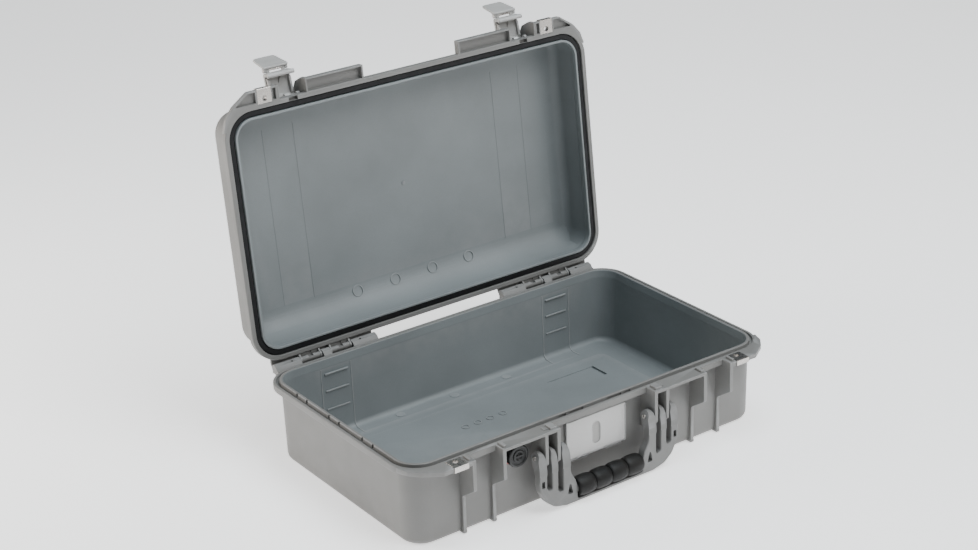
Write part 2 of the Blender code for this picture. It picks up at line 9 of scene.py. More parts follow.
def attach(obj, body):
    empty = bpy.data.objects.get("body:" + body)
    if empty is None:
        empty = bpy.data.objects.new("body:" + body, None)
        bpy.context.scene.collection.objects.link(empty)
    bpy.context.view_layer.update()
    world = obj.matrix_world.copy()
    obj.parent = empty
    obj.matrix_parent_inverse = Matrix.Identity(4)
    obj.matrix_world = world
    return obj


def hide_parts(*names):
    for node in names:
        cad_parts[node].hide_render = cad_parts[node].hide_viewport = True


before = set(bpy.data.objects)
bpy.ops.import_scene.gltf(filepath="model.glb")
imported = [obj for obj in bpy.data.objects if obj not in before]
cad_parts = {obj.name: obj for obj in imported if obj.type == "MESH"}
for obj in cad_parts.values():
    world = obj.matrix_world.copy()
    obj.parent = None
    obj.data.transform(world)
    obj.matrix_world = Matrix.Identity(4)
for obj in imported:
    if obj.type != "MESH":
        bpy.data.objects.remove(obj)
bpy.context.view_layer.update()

MM = 0.001
# Everything below is in millimetres, with the case shut, unless it says otherwise.

# --- rim shared by both shells ----------------------------------------
RIDGE_HALF_X = 268.25        # half the ridge's centre line
RIDGE_HALF_Y = 155.0
RIDGE_RADIUS = 30.0
CORNER_STEPS = 14
FLANGE_TOP = 108.5           # top of the base's flange
RIM_BOTTOM = 109.0           # underside of the lid's rim
FRONT_Y = -183.0             # front face of ribs, shelves and padlock bosses
ROOT_Y = 163.0               # outer ribs and knuckles start here, inside the flange
STRIPE_X = (155.0, 200.0)    # the moulding lines inside and the bands outside

# --- ribs on the front, counted from the corner inwards ---------------
RIB_THICK = 4.8
RIB_A_X = 198.8
RIB_B_X = 155.2
RIB_C_X = 93.6
RIB_D_X = 75.5

# --- padlock holes and hinges -----------------------------------------
HASP_HOLE = (217.0, -171.0)
HASP_RADIUS = 4.0
PLATE_HALF = 10.0            # half the width of a padlock plate
HINGE_YZ = (173.7, 108.9)
HINGE_BORE = 1.7
HINGE_BLOCKS = ((102.0, 139.7), (172.3, 184.7), (217.3, 255.0))
LID_KNUCKLES = ((140.2, 171.8), (185.2, 216.8))
LID_OPEN = 95.84             # degrees, as in the photo
DOME_CENTRE, DOME_RADIUS = (116.0, 128.0), 34.0
MARK_TILT = 18.0             # degrees; the lid's pin marks sit on the dome's curve

# --- latches ----------------------------------------------------------
BAY_CENTRE_X = 177.0
ARM_PIVOT = (-162.0, 126.2)
ARM_OPEN = 99.6              # degrees
HOOK_CENTRE = (-165.5, 97.1)
LEVER_PIVOT = (-178.0, 90.4)
LEVER_OPEN = -111.3          # degrees
LATCH_BORE = 1.6

# --- handle, vent and label -------------------------------------------
HANDLE_PIVOT = (-176.0, 76.0)
HANDLE_BORE = 2.6
GRIP_CENTRE = (-180.0, 19.2)
PRONGS = ((61.0, 72.6), (80.2, 89.0), (96.6, 107.6))
VENT_X, VENT_Z = -125.0, 82.5
LABEL_HALF_X = 46.3
LABEL_Z = (42.5, 94.5)

# --- shading ----------------------------------------------------------
SHARP = 48.0                 # degrees; edges turned more than this stay sharp
HARD_EDGE = 32.0             # degrees; edges turned more than this are bevelled
CASE_SHADES = (0.160, 0.157, 0.151), (0.204, 0.200, 0.193)
# where each shell's inner faces get their painted light: swing, (offset, height), reach, up
BASE_PAINTED_LIGHT_REGION = 0.0, (-12.6, 12.0), 10.9, -1.0
LID_PAINTED_LIGHT_REGION = LID_OPEN, (-16.7, 150.3), 14.0, 1.0
INNER_PAINTED_LIGHT_TINT = (1.10, 1.23, 1.31)   # painted light: the shells' inner faces painted lighter and cooler against their outer ones
SPECK_SHADE = 0.72           # dark specks against the dark shade
EDGE_WEAR_AND_HIGHLIGHT_LIFT = 1.7              # edges paler for wear and painted highlight, against the light shade
EDGE_WEAR_AND_HIGHLIGHT = 0.75             # most that an edge is lightened by wear and painted highlight

# --- camera (metres and degrees) --------------------------------------
CAMERA_TARGET = (0.14032, 0.25365, 0.1)
CAMERA_DISTANCE = 2.82751
CAMERA_TURN = (-35.2906, 23.509, -2.0818)    # azimuth, elevation and roll
CAMERA_LENS = 74.31
SENSOR_WIDTH = 36.0


# --- shape helpers ----------------------------------------------------
def fillet(corners, steps=4, closed=True):
    """Round a polyline: corners are (a, b, radius); a radius of 0 keeps the corner."""
    points = []
    count = len(corners)
    for i, (a, b, radius) in enumerate(corners):
        ends = (not closed) and i in (0, count - 1)
        if radius <= 0 or ends:
            points.append((a, b))
            continue
        here = Vector((a, b))
        before = Vector(corners[i - 1][:2]) - here
        after = Vector(corners[(i + 1) % count][:2]) - here
        angle = before.angle(after)
        reach = radius / math.tan(angle / 2)
        reach = min(reach, before.length * 0.499, after.length * 0.499)
        radius = reach * math.tan(angle / 2)
        start = here + before.normalized() * reach
        end = here + after.normalized() * reach
        middle = here + (before.normalized() + after.normalized()).normalized() * (
            radius / math.sin(angle / 2))
        first = start - middle
        last = end - middle
        turn = first.angle_signed(last)
        for step in range(steps + 1):
            spoke = first.copy()
            spoke.rotate(Matrix.Rotation(-turn * step / steps, 2))
            points.append(tuple(middle + spoke))
    return points


def arc(centre, radius, start, end, steps):
    """Points along an arc from one angle to another, in degrees."""
    points = []
    for step in range(steps + 1):
        angle = math.radians(start + (end - start) * step / steps)
        points.append((centre[0] + radius * math.cos(angle),
                       centre[1] + radius * math.sin(angle)))
    return points


def circle(centre, radius, segments):
    return arc(centre, radius, 0, 360 - 360 / segments, segments - 1)


def make(name, bm, bevel=0.0, segments=2):
    """Finish a bmesh in millimetres as an object in metres, its hard edges rounded."""
    bmesh.ops.recalc_face_normals(bm, faces=bm.faces)
    if bevel:
        hard = []
        for edge in bm.edges:
            if len(edge.link_faces) == 2 and edge.calc_face_angle(0) > math.radians(HARD_EDGE):
                hard.append(edge)
        bmesh.ops.bevel(bm, geom=hard, offset=bevel, segments=segments, profile=0.5,
                        affect="EDGES", clamp_overlap=True)
    bmesh.ops.scale(bm, vec=Vector((MM, MM, MM)), verts=bm.verts)
    mesh = bpy.data.meshes.new(name)
    bm.to_mesh(mesh)
    bm.free()
    obj = bpy.data.objects.new(name, mesh)
    bpy.context.scene.collection.objects.link(obj)
    return obj


def rim_ring(offset, z):
    """The ridge's rounded rectangle moved outward by offset, at height z."""
    radius = RIDGE_RADIUS + offset
    points = []
    for side_x, side_y, start in ((1, -1, -90), (1, 1, 0), (-1, 1, 90), (-1, -1, 180)):
        centre = (side_x * (RIDGE_HALF_X - RIDGE_RADIUS),
                  side_y * (RIDGE_HALF_Y - RIDGE_RADIUS))
        for x, y in arc(centre, radius, start, start + 90, CORNER_STEPS):
            points.append((x, y, z))
    return points


def loft(name, rings, closed=False):
    """Skin a row of rings; closed joins the last to the first, otherwise both are capped."""
    bm = bmesh.new()
    rows = [[bm.verts.new(point) for point in ring] for ring in rings]
    pairs = list(zip(rows, rows[1:]))
    if closed:
        pairs.append((rows[-1], rows[0]))
    for lower, upper in pairs:
        for i in range(len(lower)):
            j = (i + 1) % len(lower)
            bm.faces.new((lower[i], lower[j], upper[j], upper[i]))
    if not closed:
        bm.faces.new(rows[0])
        bm.faces.new(rows[-1])
    return make(name, bm)


def place(axis, along, first, second):
    """A 3-D point from a profile point in the plane across the axis."""
    if axis == "X":
        return (along, first, second)
    if axis == "Y":
        return (first, along, second)
    return (first, second, along)


def prism(name, axis, outline, start, end, bevel=0.0, segments=2):
    """An outline drawn across an axis, extruded along it."""
    bm = bmesh.new()
    low = [bm.verts.new(place(axis, start, *point)) for point in outline]
    high = [bm.verts.new(place(axis, end, *point)) for point in outline]
    for i in range(len(outline)):
        j = (i + 1) % len(outline)
        bm.faces.new((low[i], low[j], high[j], high[i]))
    bm.faces.new(low)
    bm.faces.new(high)
    return make(name, bm, bevel, segments)


def slab(name, outline, x, thickness, bevel=0.0):
    """A plate across X, with x at its middle."""
    return prism(name, "X", outline, x - thickness / 2, x + thickness / 2, bevel)


def box(name, x, y, z, bevel=0.0):
    """A block from its (low, high) range on each axis."""
    outline = [(y[0], z[0]), (y[1], z[0]), (y[1], z[1]), (y[0], z[1])]
    return prism(name, "X", outline, x[0], x[1], bevel)


def cylinder(name, axis, centre, radius, start, end, segments=32, bevel=0.0):
    return prism(name, axis, circle(centre, radius, segments), start, end, bevel)


def turned(name, axis, centre, profile, segments=48, closed=False):
    """A lathe-turned solid or, when closed, a ring; profile lists (along, radius)."""
    rings = []
    for along, radius in profile:
        rings.append([place(axis, along, *point) for point in circle(centre, radius, segments)])
    return loft(name, rings, closed)


def combine(target, tools, operation):
    """Union or cut a list of tool solids with the target, then discard the tools."""
    group = bpy.data.collections.new("tools")
    bpy.context.scene.collection.children.link(group)
    for tool in tools:
        group.objects.link(tool)
    modifier = target.modifiers.new(operation, "BOOLEAN")
    modifier.operation = operation
    modifier.operand_type = "COLLECTION"
    modifier.collection = group
    modifier.solver = "EXACT"
    bpy.context.view_layer.update()
    graph = bpy.context.evaluated_depsgraph_get()
    mesh = bpy.data.meshes.new_from_object(target.evaluated_get(graph))
    target.modifiers.clear()
    target.data = mesh
    for tool in tools:
        bpy.data.objects.remove(tool, do_unlink=True)
    bpy.data.collections.remove(group)
    return target


def about_x(yz, degrees):
    """Swing open by an angle about the X line through a point given in millimetres."""
    pivot = Vector((0.0, yz[0] * MM, yz[1] * MM))
    turn = Matrix.Rotation(math.radians(-degrees), 4, "X")
    return Matrix.Translation(pivot) @ turn @ Matrix.Translation(-pivot)


LID_SWING = about_x(HINGE_YZ, LID_OPEN)
ARM_SWING = LID_SWING @ about_x(ARM_PIVOT, ARM_OPEN)
LEVER_SWING = ARM_SWING @ about_x(LEVER_PIVOT, LEVER_OPEN)


def present(obj, name, body, nodes, mat, swing=None, smooth=SHARP):
    """Move a piece to its rest place, shade it, dress it and tie it to its body."""
    obj.name = name
    obj.data.name = name
    if swing is not None:
        obj.data.transform(swing)
    obj.data.materials.clear()
    obj.data.materials.append(mat)
    for polygon in obj.data.polygons:
        polygon.material_index = 0
    obj.data.shade_smooth()
    obj.data.set_sharp_from_angle(angle=math.radians(smooth))
    normals = obj.modifiers.new("flat_faces", "WEIGHTED_NORMAL")
    normals.keep_sharp = True
    normals.weight = 80
    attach(obj, body)
    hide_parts(*nodes)


def mirrored(outline, side):
    """An outline drawn for the right side, moved to the side asked for."""
    return [(side * x, other) for x, other in outline]


def span(side, low, high):
    """A range of X drawn for the right side, moved to the side asked for."""
    return (side * low, side * high) if side > 0 else (side * high, side * low)


def side_name(side):
    return "right" if side > 0 else "left"


# --- materials --------------------------------------------------------
class Nodes:
    """A small helper for laying out a node material."""

    def __init__(self, name):
        self.mat = bpy.data.materials.new(name)
        self.mat.use_nodes = True
        self.tree = self.mat.node_tree
        self.shader = self.tree.nodes["Principled BSDF"]
        self.coords = self.add("ShaderNodeTexCoord").outputs["Object"]

    def add(self, kind, **settings):
        node = self.tree.nodes.new(kind)
        for key, value in settings.items():
            setattr(node, key, value)
        return node

    def join(self, source, target):
        self.tree.links.new(source, target)

    def noise(self, scale, detail=3.0, roughness=0.5, stretch=None):
        """Noise in object space; stretch scales the axes to draw it out into streaks."""
        node = self.add("ShaderNodeTexNoise")
        node.inputs["Scale"].default_value = scale
        node.inputs["Detail"].default_value = detail
        node.inputs["Roughness"].default_value = roughness
        vector = self.coords
        if stretch is not None:
            mapping = self.add("ShaderNodeMapping")
            mapping.inputs["Scale"].default_value = stretch
            self.join(vector, mapping.inputs["Vector"])
            vector = mapping.outputs["Vector"]
        self.join(vector, node.inputs["Vector"])
        return node.outputs["Fac"]

    def spread(self, source, low, high, source_low=0.3, source_high=0.7):
        """Stretch a range of a value over another range."""
        node = self.add("ShaderNodeMapRange")
        node.inputs["From Min"].default_value = source_low
        node.inputs["From Max"].default_value = source_high
        node.inputs["To Min"].default_value = low
        node.inputs["To Max"].default_value = high
        self.join(source, node.inputs["Value"])
        return node.outputs["Result"]

    def blend(self, factor, first, second):
        """Mix two colours, each a tuple or a socket."""
        node = self.add("ShaderNodeMix", data_type="RGBA", blend_type="MIX")
        self.join(factor, node.inputs["Factor"])
        for value, socket in ((first, node.inputs[6]), (second, node.inputs[7])):
            if isinstance(value, tuple):
                socket.default_value = (*value, 1.0)
            else:
                self.join(value, socket)
        return node.outputs[2]

    def bumps(self, layers):
        """Stack bump layers given as (height socket, strength, distance in metres)."""
        normal = None
        for height, strength, distance in layers:
            node = self.add("ShaderNodeBump")
            node.inputs["Strength"].default_value = strength
            node.inputs["Distance"].default_value = distance
            self.join(height, node.inputs["Height"])
            if normal is not None:
                self.join(normal, node.inputs["Normal"])
            normal = node.outputs["Normal"]
        self.join(normal, self.shader.inputs["Normal"])

    def set(self, **values):
        """Set numbers and colours on the shader's own sockets."""
        for key, value in values.items():
            self.shader.inputs[key.replace("_", " ")].default_value = value

    def maths(self, operation, first, second=0.0):
        """A sum of two values, each a float or a socket."""
        node = self.add("ShaderNodeMath", operation=operation)
        for value, socket in ((first, node.inputs[0]), (second, node.inputs[1])):
            if isinstance(value, float):
                socket.default_value = value
            else:
                self.join(value, socket)
        return node.outputs[0]

    def length(self, first, second):
        squares = self.maths("ADD", self.maths("MULTIPLY", first, first),
                             self.maths("MULTIPLY", second, second))
        return self.maths("SQRT", squares)

    def inside(self, swing, centre, reach, up):
        """1 within a shell's hollow, 0 elsewhere; the mask for the inner faces' painted light.

        swing levels an open shell; centre, an (offset, height), and reach follow the
        middle of the wall round its fillet; up is the way the hollow is closed."""
        level = self.add("ShaderNodeVectorRotate", rotation_type="X_AXIS")
        level.inputs["Center"].default_value = (0.0, HINGE_YZ[0] * MM, HINGE_YZ[1] * MM)
        level.inputs["Angle"].default_value = math.radians(swing)
        self.join(self.coords, level.inputs["Vector"])
        axes = self.add("ShaderNodeSeparateXYZ")
        self.join(level.outputs[0], axes.inputs[0])
        past = []
        for value, half in ((axes.outputs[0], RIDGE_HALF_X), (axes.outputs[1], RIDGE_HALF_Y)):
            straight = (half - RIDGE_RADIUS) * MM
            past.append(self.maths("MAXIMUM", self.maths(
                "SUBTRACT", self.maths("ABSOLUTE", value), straight)))
        around = self.maths("SUBTRACT", self.length(*past), (RIDGE_RADIUS + centre[0]) * MM)
        rise = self.maths("SUBTRACT", axes.outputs[2], centre[1] * MM)
        rise = self.maths("MULTIPLY", rise, up)
        depth = self.length(self.maths("MAXIMUM", around), self.maths("MAXIMUM", rise))
        return self.maths("LESS_THAN", depth, reach * MM)

    def wear_and_highlight(self, colour, pale):
        """Lighten the convex edges: partly wear, where handling polishes the surface, partly a
        painted highlight.
        """
        edge = self.spread(self.add("ShaderNodeNewGeometry").outputs["Pointiness"],
                           0.0, EDGE_WEAR_AND_HIGHLIGHT, 0.51, 0.60)
        patchy = self.spread(self.noise(60.0, 4.0), 0.3, 1.0)
        return self.blend(self.maths("MULTIPLY", edge, patchy), colour, pale)


def moulded_plastic(name, dark, light, roughness, grain=0.25, hollow=None):
    """Moulded polymer: fine spark-eroded grain, faint flow clouding, paler edges from wear and
    painted highlight.

    hollow says where a shell's inner faces are, which are painted a lighter, cooler grey as
    painted light."""
    n = Nodes(name)
    cloud = n.spread(n.noise(7.0, 4.0), 0.0, 1.0)
    colour = n.blend(cloud, dark, light)
    # painted light: a lighter, cooler copy of the grey on the shells' inner faces
    if hollow is not None:
        inner = n.blend(cloud, tuple(c * t for c, t in zip(dark, INNER_PAINTED_LIGHT_TINT)),
                        tuple(c * t for c, t in zip(light, INNER_PAINTED_LIGHT_TINT)))
        colour = n.blend(n.inside(*hollow), colour, inner)
    speck = n.spread(n.noise(700.0, 2.0), 0.0, 0.12, 0.35, 0.75)
    colour = n.blend(speck, colour, tuple(c * SPECK_SHADE for c in dark))
    # paler edges: part wear, part painted highlight
    pale = (light[1] * EDGE_WEAR_AND_HIGHLIGHT_LIFT,) * 3
    n.join(n.wear_and_highlight(colour, pale), n.shader.inputs["Base Color"])
    n.join(n.spread(n.noise(35.0, 5.0), roughness - 0.05, roughness + 0.06),
           n.shader.inputs["Roughness"])
    n.bumps([(n.noise(260.0, 2.0), grain * 0.5, 0.0003), (n.noise(1500.0, 3.0), grain, 0.0002)])
    n.set(IOR=1.5)
    return n.mat


def rubber(name, dark, light, roughness, grain, scale=900.0):
    """Matt rubber, with a grain of the given strength and fineness."""
    n = Nodes(name)
    n.join(n.blend(n.spread(n.noise(30.0, 5.0), 0.0, 1.0), dark, light),
           n.shader.inputs["Base Color"])
    n.join(n.spread(n.noise(80.0, 4.0), roughness - 0.08, roughness + 0.08),
           n.shader.inputs["Roughness"])
    n.bumps([(n.noise(scale, 3.0), grain, 0.0003)])
    n.set(Specular_IOR_Level=0.3)
    return n.mat


def stainless(name, stretch):
    """Rolled or drawn stainless steel with fine scratches along one direction."""
    n = Nodes(name)
    streaks = n.noise(900.0, 4.0, 0.6, stretch)
    n.join(n.blend(n.spread(streaks, 0.0, 1.0), (0.42, 0.39, 0.36), (0.68, 0.65, 0.62)),
           n.shader.inputs["Base Color"])
    n.join(n.spread(n.noise(200.0, 4.0), 0.2, 0.38), n.shader.inputs["Roughness"])
    n.bumps([(streaks, 0.2, 0.0001)])
    n.set(Metallic=1.0)
    return n.mat


def clear_plastic(name):
    """Clear cover, slightly hazed by fine scratches."""
    n = Nodes(name)
    scratches = n.noise(500.0, 4.0, 0.6, (1.0, 1.0, 6.0))
    n.join(n.blend(n.spread(scratches, 0.0, 1.0), (0.93, 0.925, 0.92), (0.98, 0.975, 0.97)),
           n.shader.inputs["Base Color"])
    n.join(n.spread(scratches, 0.08, 0.22), n.shader.inputs["Roughness"])
    n.bumps([(n.noise(40.0, 2.0), 0.05, 0.0004)])
    n.set(Transmission_Weight=0.75, IOR=1.45)
    return n.mat


def card_stock(name):
    """Blank white card, with painted shade: a grey oval where the cover's finger slot is."""
    n = Nodes(name)
    fibres = n.noise(700.0, 5.0, 0.7, (1.0, 1.0, 3.0))
    paper = n.blend(n.spread(fibres, 0.0, 1.0), (0.90, 0.88, 0.87), (0.95, 0.93, 0.92))
    # painted shade of the finger slot: a grey oval on the card
    slot_painted_shade = n.blend(n.spread(fibres, 0.0, 1.0), (0.36, 0.35, 0.34), (0.44, 0.43, 0.42))
    axes = n.add("ShaderNodeSeparateXYZ")
    n.join(n.coords, axes.inputs[0])
    middle = (LABEL_Z[0] + LABEL_Z[1]) / 2
    straight, radius = 8.6, 6.4
    above = n.maths("ABSOLUTE", n.maths("SUBTRACT", axes.outputs[2], middle * MM))
    beyond = n.maths("MAXIMUM", n.maths("SUBTRACT", above, straight * MM))
    from_slot = n.length(axes.outputs[0], beyond)
    n.join(n.blend(n.maths("LESS_THAN", from_slot, radius * MM), paper, slot_painted_shade),
           n.shader.inputs["Base Color"])
    n.join(n.spread(fibres, 0.7, 0.85), n.shader.inputs["Roughness"])
    n.bumps([(fibres, 0.2, 0.0001)])
    return n.mat


def membrane_film(name):
    n = Nodes(name)
    weave = n.noise(2500.0, 4.0, 0.8)
    n.join(n.blend(n.spread(weave, 0.0, 1.0), (0.72, 0.72, 0.7), (0.85, 0.85, 0.84)),
           n.shader.inputs["Base Color"])
    n.join(n.spread(weave, 0.75, 0.95), n.shader.inputs["Roughness"])
    n.bumps([(weave, 0.3, 0.0001)])
    return n.mat


def pale_floor(name):
    n = Nodes(name)
    n.join(n.blend(n.spread(n.noise(2.0, 2.0), 0.0, 1.0), (0.93, 0.93, 0.93),
                   (0.95, 0.95, 0.95)), n.shader.inputs["Base Color"])
    n.set(Roughness=0.9, Emission_Color=(1.0, 1.0, 1.0, 1.0), Emission_Strength=1.0)
    return n.mat


# --- base shell -------------------------------------------------------
def hasp_outline():
    """Plan of a padlock boss, the same on both shells."""
    return fillet([(196.4, -ROOT_Y, 0), (196.4, FRONT_Y, 1.0), (240.0, FRONT_Y, 6.0),
                   (262.0, -168.5, 8.0), (273.5, -155.0, 8.0), (278.6, -139.5, 0),
                   (273.4, -139.5, 0), (265.1, -151.9, 0), (252.8, -160.1, 0),
                   (238.2, -ROOT_Y, 0)], 3)


def base_skin():
    """Underside, outer wall, flange, groove, sealing ridge, inner wall and floor."""
    profile = fillet([(-18.0, 0.0, 0), (-1.0, 0.0, 10.0), (0.5, 98.2, 2.2), (10.5, 99.4, 2.0),
                      (10.5, FLANGE_TOP, 1.6), (6.4, FLANGE_TOP, 0.7), (5.9, 104.8, 0.9),
                      (2.5, 104.8, 0.9), (2.0, 110.5, 1.2), (-2.0, 110.5, 1.2),
                      (-3.3, 100.0, 3.0), (-5.2, 4.0, 9.0), (-20.0, 4.0, 0)], 4, closed=False)
    return loft("base_shell_skin", [rim_ring(offset, z) for offset, z in profile])


def base_latch_rib(x):
    outline = fillet([(-ROOT_Y, FLANGE_TOP, 0), (FRONT_Y, FLANGE_TOP, 0.8),
                      (FRONT_Y, 68.0, 2.5), (-158.8, 51.5, 4.0), (-158.8, 3.4, 1.0),
                      (-156.6, 1.2, 1.0), (-147.0, 1.2, 0), (-152.3, 12.0, 0),
                      (-152.3, 97.0, 0), (-ROOT_Y, 103.0, 0)])
    return slab("rib", outline, x, RIB_THICK, 0.7)


def base_handle_rib(x):
    outline = fillet([(-ROOT_Y, FLANGE_TOP, 0), (FRONT_Y, FLANGE_TOP, 0.8),
                      (FRONT_Y, 66.0, 3.0), (-178.0, 61.0, 3.0), (-168.0, 54.0, 3.0),
                      (-152.3, 50.0, 0), (-152.3, 97.0, 0), (-ROOT_Y, 103.0, 0)])
    return slab("rib", outline, x, RIB_THICK, 0.7)


def hinge_block(x_range):
    """A knuckle on the base."""
    outline = [(ROOT_Y, 100.6), (168.0, 98.6)] + arc(HINGE_YZ, 5.2, -100, 90, 14)
    outline += [(168.5, 112.6), (165.2, FLANGE_TOP), (ROOT_Y, FLANGE_TOP)]
    return prism("knuckle", "X", outline, *x_range, bevel=0.5)


def hinge_buttress(x):
    outline = [(152.3, 62.0), (155.0, 60.0), (165.0, 99.2), (170.0, 99.2), (170.0, 101.0),
               (ROOT_Y, 102.0), (152.3, 97.0)]
    return slab("buttress", outline, x, 3.0, 0.4)


def base_outside():
    """Everything that stands on the outside of the tub."""
    solids = []
    for side in (1, -1):
        for x in (RIB_A_X, RIB_B_X):
            solids.append(base_latch_rib(side * x))
            solids.append(box("foot", (side * x - 3.0, side * x + 3.0), (-159.2, -148.0),
                              (0.9, 5.2), 1.3))
        for x in (RIB_C_X, RIB_D_X):
            solids.append(base_handle_rib(side * x))
        solids.append(prism("hasp", "Z", mirrored(hasp_outline(), side), 102.5, FLANGE_TOP,
                            0.8))
        shelf = span(side, RIB_D_X - 2.4, RIB_B_X + 2.4)
        solids.append(box("shelf", shelf, (FRONT_Y, -ROOT_Y), (104.5, FLANGE_TOP), 0.6))
        solids.append(box("catch", span(side, RIB_B_X + 1, RIB_A_X), (-167.5, -162.0),
                          (100.3, FLANGE_TOP), 0.7))
        for low, high in ((201.6, 204.8), (150.4, 155.0), (76.6, 86.0)):
            solids.append(box("tab", span(side, low, high), (-180.0, -168.0),
                              (FLANGE_TOP - 1, FLANGE_TOP + 3.2), 0.6))
        solids.append(box("tab_heel", span(side, 79.6, 92.6), (-176.4, -168.6),
                          (FLANGE_TOP - 1, FLANGE_TOP + 1.0), 0.4))
        solids.append(box("hinge_shelf", span(side, 102.5, 254.5), (ROOT_Y, 178.6),
                          (101.4, 103.9), 0.5))
        for low, high in HINGE_BLOCKS:
            solids.append(hinge_block(span(side, low, high)))
            solids.append(hinge_buttress(side * (low + 3.0)))
            solids.append(hinge_buttress(side * (high - 3.0)))
        solids.append(box("ledge", span(side, 14.0, 40.0), (-158.6, -152.3),
                          (LABEL_Z[0] - 2.6, LABEL_Z[0] - 0.3), 0.4))
    return solids


def flow_rib(x):
    """A faint raised line down the back wall of the tub and over its floor fillet."""
    inner = fillet([(128.0, 4.45, 0), (149.5, 4.45, 9.0), (151.25, 98.0, 0)], 8, closed=False)
    return slab("flow_rib", inner + [(153.0, 98.0), (153.0, 2.0), (128.0, 2.0)], x, 1.4)


def base_inside():
    """Floor panel, moulding marks and wall ribs inside the tub."""
    solids = [prism("floor_panel", "Z", fillet([(-228, -112, 10), (228, -112, 10),
                                                (228, 112, 10), (-228, 112, 10)]),
                    3.0, 4.9, 0.5)]
    for x in (-47.5, -28.0, -8.0, 12.4):
        ring = [(4.4, 5.4), (5.8, 5.4), (5.8, 4.4), (4.4, 4.4)]
        solids.append(turned("mark", "Z", (x, 53.0), ring, 32, closed=True))
    for x in (-92.0, -5.0, 81.0):
        solids.append(turned("pin_mark", "Z", (x, 138.0), [(3.0, 6.5), (4.6, 6.5), (4.8, 6.2)],
                             32))
    for side in (1, -1):
        for z in (90.0, 66.0, 40.0):
            solids.append(box("wall_rib", span(side, 160.0, 195.0), (149.4, 152.6),
                              (z - 1.1, z + 1.1), 0.5))
        for x in STRIPE_X:
            solids.append(flow_rib(side * x))
    return solids


def hasp_cuts(side, hole_z, seat_z):
    """The hole through a padlock boss and the seat its plate lies in."""
    hole_x, hole_y = side * HASP_HOLE[0], HASP_HOLE[1]
    half = PLATE_HALF + 0.3
    return [cylinder("hole", "Z", (hole_x, hole_y), HASP_RADIUS, *hole_z),
            box("plate_seat", (hole_x - half, hole_x + half), (-190.0, -164.5), seat_z)]


def base_cuts():
    """Holes, slots and seats cut into the base."""
    cuts = []
    for side in (1, -1):
        cuts += hasp_cuts(side, (95.0, 112.0), (FLANGE_TOP - 0.9, 115.0))
        cuts.append(cylinder("pin_hole", "X", HINGE_YZ, HINGE_BORE, *span(side, 103.5, 253.5)))
        cuts.append(cylinder("pin_hole", "X", HANDLE_PIVOT, HANDLE_BORE,
                             *span(side, 70.0, 99.0)))
        for x in (127.0, 229.6):
            cuts.append(cylinder("core_hole", "Z", (side * x, 171.0), 1.6, 106.0, 118.0, 16))
        for y in (80.0, 6.2, -67.6):
            for step in (-11.4, 11.4):
                middle = y + step
                cuts.append(box("notch", span(side, 269.0, 271.2), (middle - 1.9, middle + 1.9),
                                (105.6, 112.0)))
        cuts.append(box("label_groove", span(side, LABEL_HALF_X + 0.1, LABEL_HALF_X + 1.8),
                        (-160.0, -154.6), (LABEL_Z[0] - 1.8, LABEL_Z[1])))
        for low, high in ((18.7, 40.5), (45.0, 55.0)):
            cuts.append(box("slit", span(side, low, high), (-158.6, -155.5), (104.9, 108.4)))
        cuts.append(box("hook_relief", span(side, RIB_B_X + 2.5, RIB_A_X - 2.5),
                        (-168.0, -ROOT_Y), (95.0, 100.4)))
        cuts.append(box("rib_socket", span(side, 79.0, 90.0), (-181.0, -159.0), (98.0, 104.0)))
    cuts.append(cylinder("vent_hole", "Y", (VENT_X, VENT_Z), 11.3, -165.0, -140.0))
    cuts.append(box("label_groove", (-LABEL_HALF_X - 1.8, LABEL_HALF_X + 1.8),
                    (-160.0, -154.6), (LABEL_Z[0] - 1.8, LABEL_Z[0] - 0.1)))
    cuts.append(box("floor_recess", (112.0, 188.0), (56.0, 87.0), (4.1, 9.0)))
    cuts.append(box("floor_slot", (188.2, 191.0), (56.0, 87.0), (1.4, 9.0)))
    return cuts


def build_base(mat):
    shell = base_skin()
    combine(shell, base_outside() + base_inside(), "UNION")
    combine(shell, base_cuts(), "DIFFERENCE")
    present(shell, "base_tub", "base", ["base_shell"], mat)


# --- lid shell and seal -----------------------------------------------
def lid_skin():
    """Outer wall, rim with the seal's channel, and inner wall."""
    profile = fillet([(-28.5, 166.0, 0), (-1.0, 166.0, 25.0), (0.5, 119.6, 2.2),
                      (10.5, 118.2, 2.0), (10.5, RIM_BOTTOM, 1.4), (4.2, RIM_BOTTOM, 0.6),
                      (4.2, 116.5, 0.3), (-4.2, 116.5, 0.3), (-4.2, 108.5, 0.9),
                      (-7.3, 108.5, 0.9), (-7.2, 114.5, 2.0), (-5.0, 121.0, 5.0),
                      (-5.0, 162.0, 21.0), (-28.5, 162.0, 0)], 7, closed=False)
    return loft("lid_shell_skin", [rim_ring(offset, z) for offset, z in profile])


def lid_latch_rib(x):
    outline = fillet([(-ROOT_Y, RIM_BOTTOM, 0), (-ROOT_Y, 119.0, 0), (-153.0, 121.0, 0),
                      (-151.5, 147.0, 0), (-156.0, 149.5, 2.0), (-176.0, 137.0, 5.0),
                      (FRONT_Y, 121.0, 4.0), (FRONT_Y, RIM_BOTTOM, 0.8)])
    return slab("rib", outline, x, RIB_THICK, 0.6)


def lid_cheek(x_range):
    """One end of a lid knuckle."""
    outline = [(ROOT_Y, RIM_BOTTOM + 1.2), (166.0, RIM_BOTTOM + 1.2)]
    outline += arc(HINGE_YZ, 4.6, 200, 405, 16) + [(168.0, 119.5), (ROOT_Y, 118.2)]
    return prism("cheek", "X", outline, *x_range, bevel=0.4)


def raised_band(side):
    """One of the two shallow bands across the outside of the lid."""
    rings = []
    for inset, height in ((0.0, 163.5), (0.0, 166.5), (0.35, 167.2), (1.0, 167.5), (3.0, 167.5),
                          (8.0, 167.5)):
        low, high = STRIPE_X[0] + inset, STRIPE_X[1] - inset
        far = 122.0 - inset
        outline = fillet([(low, -far, 3.0), (high, -far, 3.0), (high, far, 3.0),
                          (low, far, 3.0)], 4)
        rings.append([place("Z", height, *point) for point in mirrored(outline, side)])
    return loft("band", rings)


